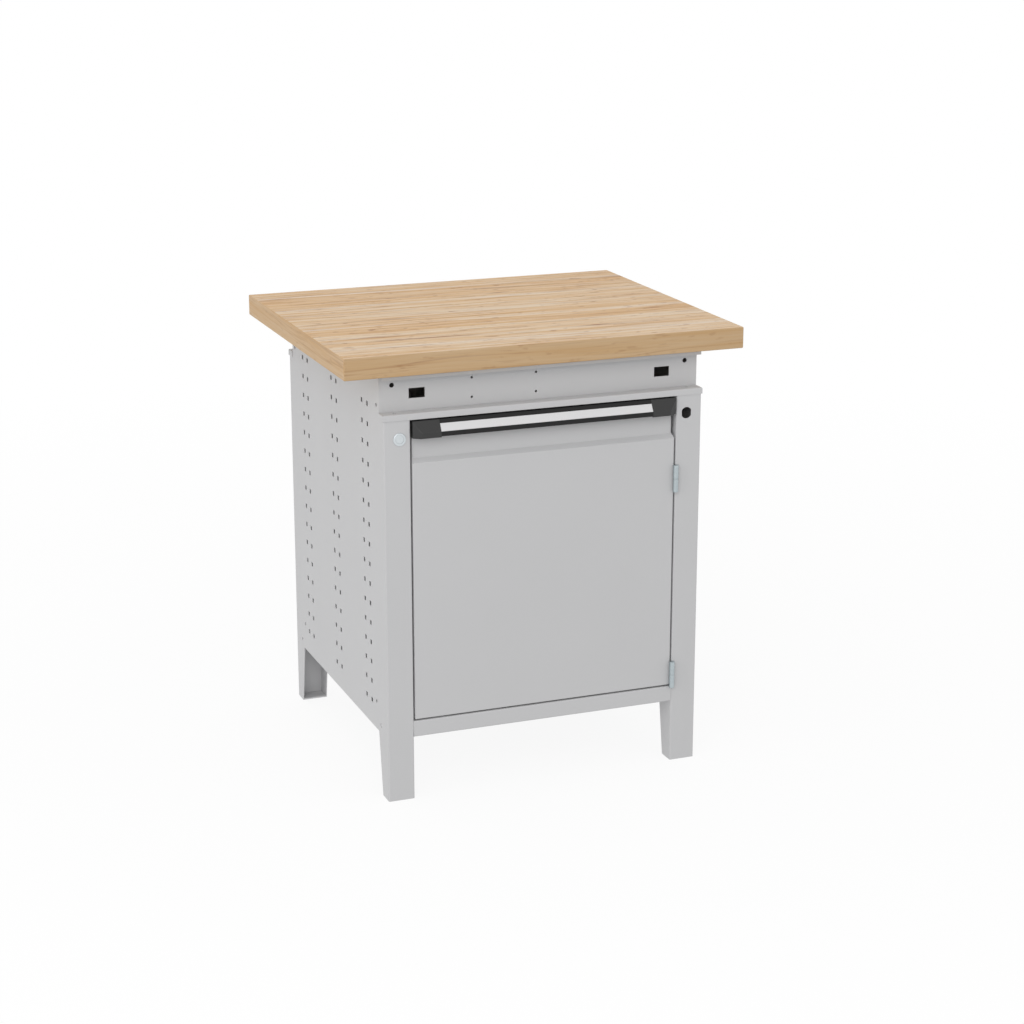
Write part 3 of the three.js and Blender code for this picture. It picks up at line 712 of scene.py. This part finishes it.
rubber = grained(
    "black_rubber", rubber_black, scale=1500, mottle=0.25, gloss=(0.7, 0.85), depth=0.00006
)
for level in ("upper", "lower"):
    folded(f"door_stop_{level}", "frame", frame_sheet, powder_coat)
    low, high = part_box(f"door_buffer_{level}")
    radius = (high.x - low.x) / 2
    thickness = high.y - low.y
    dome = turned([
        (0, 0),
        (radius, 0),
        (radius, thickness - buffer_ease),
        (radius - 0.3 * buffer_ease, thickness - 0.3 * buffer_ease),
        (radius - buffer_ease, thickness),
        (0, thickness),
    ])
    centre = (low + high) / 2
    centre.y = high.y
    placed = Matrix.Translation(centre) @ Matrix.Rotation(math.pi / 2, 4, "X")
    bmesh.ops.transform(dome, matrix=placed, verts=dome.verts)
    fit(f"moulded_door_buffer_{level}", dome, [f"door_buffer_{level}"], "frame", "rubber", rubber)


# Door. A pan folded from one sheet, its corners welded and ground, with a pressed step that sets its
# upper zone back behind the handle. A hat channel is spot welded up the middle of its inside. Coated
# like the frame.
door_sheet = 0.00125
door_corner_radius = 0.0025
stiffener_sheet = 0.001

folded("door_panel", "door", door_sheet, powder_coat, "Y", door_corner_radius)
folded("door_stiffener", "door", stiffener_sheet, powder_coat)


# Handle. A dark grey hooked bar across the recess of the door, with an inclined face that holds a pale
# label strip, closed by two moulded end caps. A screw from inside the door holds each cap.
cap_dark = "272727"
bar_dark = "1D1D1D"
strip_pale = "D9D9DA"
bar_edge = 0.0005
cap_edge = 0.0007
lower_edge = 0.0022
strip_edge = 0.0002
shortest_arris = 0.004
arris_above = math.radians(24)

cap_plastic = grained(
    "dark_moulded_plastic", cap_dark, scale=1800, mottle=0.2, gloss=(0.38, 0.5), depth=0.00003
)
bar_plastic = grained(
    "dark_drawn_plastic",
    bar_dark,
    scale=1500,
    mottle=0.15,
    gloss=(0.45, 0.55),
    depth=0.00002,
    specular=0.25,
)
pale_strip = grained(
    "pale_label_strip", strip_pale, scale=700, mottle=0.04, gloss=(0.22, 0.3), depth=0.00001, coat=0.3
)


def moulded(node, radius, lower_radius, finish, slot):
    """A moulded or drawn piece with its long edges rounded, the lower front one more than the rest."""
    solid = solid_of(node)
    low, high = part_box(node)
    lower_front = [
        edge for edge in solid.edges
        if runs_along(edge, "X")
        and max(corner.co.z for corner in edge.verts) < low.z + 0.0001
        and max(corner.co.y for corner in edge.verts) < low.y + 0.0001
    ]
    round_edges(solid, lower_front, lower_radius, 5)
    arrises = [
        edge for edge in solid.edges
        if edge.calc_length() > shortest_arris and edge.calc_face_angle(0) > arris_above
    ]
    round_edges(solid, arrises, radius, 3)
    fit("moulded_" + node, solid, [node], "door", slot, finish)


moulded("handle_bar", bar_edge, lower_edge, bar_plastic, "dark_plastic")
moulded("handle_strip", strip_edge, strip_edge, pale_strip, "label_strip")
for side in ("left", "right"):
    moulded(f"handle_end_cap_{side}", cap_edge, lower_edge, cap_plastic, "dark_plastic")
    fit_screw(f"handle_screw_{side}", "door", "-Y")


# Hinges. Lift-off hinges of bright zinc plated steel: the lower knuckle and its leaf are welded to the
# post, the upper ones to the door, and a pin stands in the lower half.
leaf_thickness = 0.0012
leaf_offset = 0.0015
leaf_end_inset = 0.005
leaf_root = 0.6
knuckle_chamfer = 0.0003
mating_chamfer = 0.00012
bore_radius = 0.0033
knuckle_end_wall = 0.004
leaf_edge = 0.0003
hinge_axis = Vector(frame["joints"][0]["pos_m"])


def knuckle(radius, open_end, closed_end):
    """A tube about Z, open towards its pin and closed at its far end."""
    way = 1 if closed_end > open_end else -1
    return turned([
        (0, closed_end),
        (radius - knuckle_chamfer, closed_end),
        (radius, closed_end - way * knuckle_chamfer),
        (radius, open_end + way * mating_chamfer),
        (radius - mating_chamfer, open_end),
        (bore_radius, open_end),
        (bore_radius, closed_end - way * knuckle_end_wall),
        (0, closed_end - way * knuckle_end_wall),
    ])


for level in ("upper", "lower"):
    for body, side in (("frame", 1), ("door", -1)):
        node = f"hinge_{body}_leaf_{level}"
        low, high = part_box(node)
        radius = hinge_axis.y - low.y
        ends = (high.z, low.z) if body == "frame" else (low.z, high.z)
        leaf_x = hinge_axis.x + side * leaf_offset
        inner_x = leaf_x - side * leaf_thickness
        leaf_front = hinge_axis.y + leaf_root * radius
        leaf_low = (min(leaf_x, inner_x), leaf_front, low.z + leaf_end_inset)
        leaf_high = (max(leaf_x, inner_x), high.y, high.z - leaf_end_inset)
        leaf = block(leaf_low, leaf_high)
        ease_cut_edges(leaf, leaf_edge)
        roll = knuckle(radius, *ends)
        bmesh.ops.translate(roll, vec=(hinge_axis.x, hinge_axis.y, 0), verts=roll.verts)
        fit("rolled_" + node, carved(roll, leaf, "UNION"), [node], body, "zinc", zinc)
    low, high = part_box(f"hinge_pin_{level}")
    pin_radius = (high.x - low.x) / 2
    pin = turned([
        (0, low.z),
        (pin_radius - knuckle_chamfer, low.z),
        (pin_radius, low.z + knuckle_chamfer),
        (pin_radius, high.z - knuckle_chamfer),
        (pin_radius - knuckle_chamfer, high.z),
        (0, high.z),
    ])
    bmesh.ops.translate(pin, vec=(hinge_axis.x, hinge_axis.y, 0), verts=pin.verts)
    fit(f"turned_hinge_pin_{level}", pin, [f"hinge_pin_{level}"], "frame", "zinc", zinc)


# Lock. A cam lock of nickel plated die-cast zinc in the left post, held by a nut behind the sheet. A
# spring shutter closes its key slot. Its cylinder turns a quarter turn and swings a flat cam into the
# edge of the door.
nickel_pale = "D4D9DC"
nickel_blue = "CAD1D4"
flange_round = 0.0014
rotor_round = 0.0004
rim_steps = 6
rim_turns = 64
cutter_reach = 0.01
lock_flange_radius = 0.012
lock_flange_thickness = 0.002
lock_body_radius = 0.01055
lock_body_flats = 0.0184
lock_bore_radius = 0.0063
lock_seat_radius = 0.0078
lock_seat_depth = 0.0013
rotor_head_radius = 0.0075
rotor_head_thickness = 0.001
rotor_radius = 0.006
rotor_tang = 0.007
cam_bore_radius = 0.0023
shutter_width = 0.0016
shutter_height = 0.0065
shutter_depth = 0.0003
lock_axis = Vector(frame["joints"][1]["pos_m"])
housing_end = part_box("lock_housing")[1].y - lock_axis.y
tang_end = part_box("lock_rotor")[1].y - lock_axis.y
thread_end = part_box("lock_cam_screw")[0].y - lock_axis.y - rotor_head_thickness / 4
nickel = plated_metal("bright_nickel", nickel_pale, nickel_blue)


def rod(radius, low, high):
    """A plain rod about Z, for joining and cutting."""
    return turned([(0, low), (radius, low), (radius, high), (0, high)])


def fit_lock_piece(node, body, solid):
    """Turns a piece made along Z, from the face of the post inwards, into the lock's axis."""
    placed = Matrix.Translation(lock_axis) @ Matrix.Rotation(-math.pi / 2, 4, "X")
    bmesh.ops.transform(solid, matrix=placed, verts=solid.verts)
    fit("turned_" + node, solid, [node], body, "zinc", nickel)


def rimmed_disc(radius, thickness, low, rim):
    """A disc about Z with its rim rounded on the low side."""
    turns = [math.pi / 2 * step / rim_steps for step in range(rim_steps + 1)]
    arc = [(radius - rim + rim * math.sin(turn), low + rim - rim * math.cos(turn)) for turn in turns]
    return turned([(0, low), *arc, (radius, low + thickness), (0, low + thickness)], rim_turns)


def lock_housing_solid():
    shank = rod(lock_body_radius, -lock_flange_thickness / 2, housing_end)
    half_flats = lock_body_flats / 2
    flats = block((-half_flats, -1, -1), (half_flats, 1, 1))
    housing = carved(
        rimmed_disc(lock_flange_radius, lock_flange_thickness, -lock_flange_thickness, flange_round),
        carved(shank, flats, "INTERSECT"),
        "UNION",
    )
    housing = carved(housing, rod(lock_bore_radius, -cutter_reach, 2 * housing_end), "DIFFERENCE")
    seat = rod(lock_seat_radius, -cutter_reach, lock_seat_depth - lock_flange_thickness)
    return carved(housing, seat, "DIFFERENCE")


def lock_rotor_solid():
    front = -lock_flange_thickness
    rotor = carved(
        rimmed_disc(rotor_head_radius, rotor_head_thickness, front, rotor_round),
        rod(rotor_radius, front + rotor_head_thickness / 2, housing_end),
        "UNION",
    )
    half_tang = rotor_tang / 2
    tang = block((-half_tang, -half_tang, housing_end / 2), (half_tang, half_tang, tang_end))
    rotor = carved(rotor, tang, "UNION")
    slot_low = (-shutter_width / 2, -shutter_height / 2, -cutter_reach)
    slot_high = (shutter_width / 2, shutter_height / 2, front + shutter_depth)
    rotor = carved(rotor, block(slot_low, slot_high), "DIFFERENCE")
    return carved(rotor, rod(cam_bore_radius, thread_end, 2 * tang_end), "DIFFERENCE")


fit_lock_piece("lock_housing", "frame", lock_housing_solid())
fit_lock_piece("lock_rotor", "lock", lock_rotor_solid())
for node, body in (("lock_nut", "frame"), ("lock_cam", "lock")):
    metal = solid_of(node)
    ease_cut_edges(metal, leaf_edge)
    fit("cut_" + node, metal, [node], body, "zinc", zinc)
fit_screw("lock_cam_screw", "lock", "-Y")


# Studio. A white floor that lights the bench from below, an even white sky, and two large soft lamps
# from the left, so that the colours render as they are written. The camera stands at the left in front
# of the bench and looks down on it.
floor_reach = 14
shadow_reach = (0.9, 3.2)
floor_glow = (0.88, 1.0)
floor_white = (0.96, 0.96, 0.96, 1)
floor_fill = 0.66
sky_strength = 0.81
lamps = {
    "front_lamp": (68, Vector((-2.35, -4.3, 3.2))),
    "side_lamp": (31, Vector((-5.2, -1.4, 2.0))),
}
lamp_size = 3.0
lamp_target = Vector((0, 0, 0.5))
camera_place = (-1.5279, -4.0912, 1.7113)
camera_yaw = math.radians(21.09)
camera_pitch = math.radians(16.15)
camera_lens = 81.19

scene = bpy.context.scene
scene.view_settings.view_transform = "Standard"


def seen_rays(tree):
    """1 for rays that show the background: seen straight, mirrored or through glass."""
    path = wire(tree, "LightPath", {}).outputs
    shown = sum_of(tree, "MAXIMUM", path["Is Camera Ray"], path["Is Glossy Ray"])
    return sum_of(tree, "MAXIMUM", shown, path["Is Transmission Ray"])


def floor_material():
    """White floor that shows the shadow of the bench, is plain white away from it, and glows evenly."""
    material, tree, _, place = new_material("white_floor")
    tree.nodes.remove(tree.nodes["Principled BSDF"])
    distance = wire(tree, "VectorMath", {0: place}, operation="LENGTH").outputs["Value"]
    glow = remap(tree, distance, *shadow_reach, *floor_glow)
    seen = seen_rays(tree)
    share = remap(tree, seen, 0.0, 1.0, 1.0, glow)
    strength = remap(tree, seen, 0.0, 1.0, floor_fill, 1.0)
    matt = wire(tree, "BsdfDiffuse", {"Color": floor_white}).outputs[0]
    light = wire(tree, "Emission", {"Color": (1, 1, 1, 1), "Strength": strength}).outputs[0]
    both = wire(tree, "MixShader", {0: share, 1: matt, 2: light}).outputs[0]
    tree.links.new(both, tree.nodes["Material Output"].inputs["Surface"])
    return material


floor_mesh = bpy.data.meshes.new("studio_floor")
floor_solid = bmesh.new()
bmesh.ops.create_circle(floor_solid, cap_ends=True, segments=64, radius=floor_reach)
floor_solid.to_mesh(floor_mesh)
floor_solid.free()
floor_mesh.materials.append(floor_material())
floor = bpy.data.objects.new("studio_floor", floor_mesh)
scene.collection.objects.link(floor)

world = bpy.data.worlds.new("studio_light")
world.use_nodes = True
sky = world.node_tree
sky.nodes.clear()
strength = remap(sky, seen_rays(sky), 0.0, 1.0, sky_strength, 1.0)
background = wire(sky, "Background", {"Color": (1, 1, 1, 1), "Strength": strength}).outputs[0]
sky.links.new(background, wire(sky, "OutputWorld", {}).inputs["Surface"])
scene.world = world

for name, (power, place) in lamps.items():
    lamp_data = bpy.data.lights.new(name, "AREA")
    lamp_data.energy = power
    lamp_data.size = lamp_size
    lamp = bpy.data.objects.new(name, lamp_data)
    lamp.location = place
    lamp.rotation_euler = (lamp_target - place).to_track_quat("-Z", "Y").to_euler()
    scene.collection.objects.link(lamp)

camera_data = bpy.data.cameras.new("camera")
camera_data.lens = camera_lens
camera = bpy.data.objects.new("camera", camera_data)
camera.location = camera_place
camera.rotation_euler = (math.pi / 2 - camera_pitch, 0, -camera_yaw)
scene.collection.objects.link(camera)
scene.camera = camera
